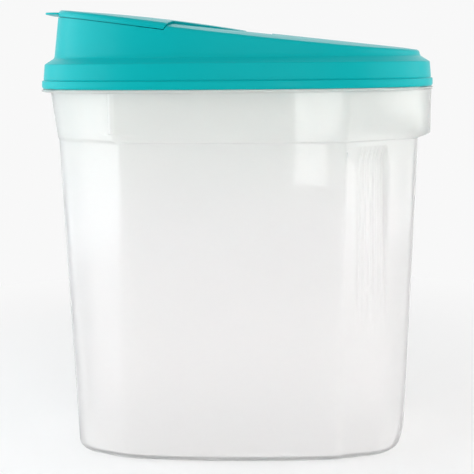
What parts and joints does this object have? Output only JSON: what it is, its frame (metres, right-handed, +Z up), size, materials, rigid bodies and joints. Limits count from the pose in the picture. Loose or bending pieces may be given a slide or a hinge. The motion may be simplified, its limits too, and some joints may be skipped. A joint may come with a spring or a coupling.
{
  "type": "cereal container with flip spout",
  "caption": "Tapered oval food container with ribbed rear grips, a push-fit lid whose sloping hood ends in a pour spout, and a hinged flip cap with a thumb tab.",
  "frame": {"origin": "on the table, under the middle of the part", "axes": "+Z up, -X to the front end with the spout and the thumb tab, +X to the rear end with the grips, the part is symmetric about the XZ plane"},
  "size_m": [0.239, 0.1594, 0.2672],
  "materials": {
    "container_plastic": "translucent natural polypropylene, satin outside",
    "lid_plastic": "satin, opaque teal polypropylene",
    "cap_plastic": "satin, opaque teal polypropylene"
  },
  "bodies": {
    "container": {"container": "container_plastic"},
    "lid": {"lid": "lid_plastic"},
    "flip_cap": {"flip_cap": "cap_plastic"}
  },
  "joints": [
    {"name": "lid_lift", "type": "slide", "parent": "container", "child": "lid", "axis": [0, 0, 1], "range_m": [0, 0.08]},
    {"name": "cap_hinge", "type": "hinge", "parent": "lid", "child": "flip_cap", "pos_m": [0.0013, 0, 0.24919], "axis": [0, 1, 0], "range_deg": [0, 145]}
  ]
}
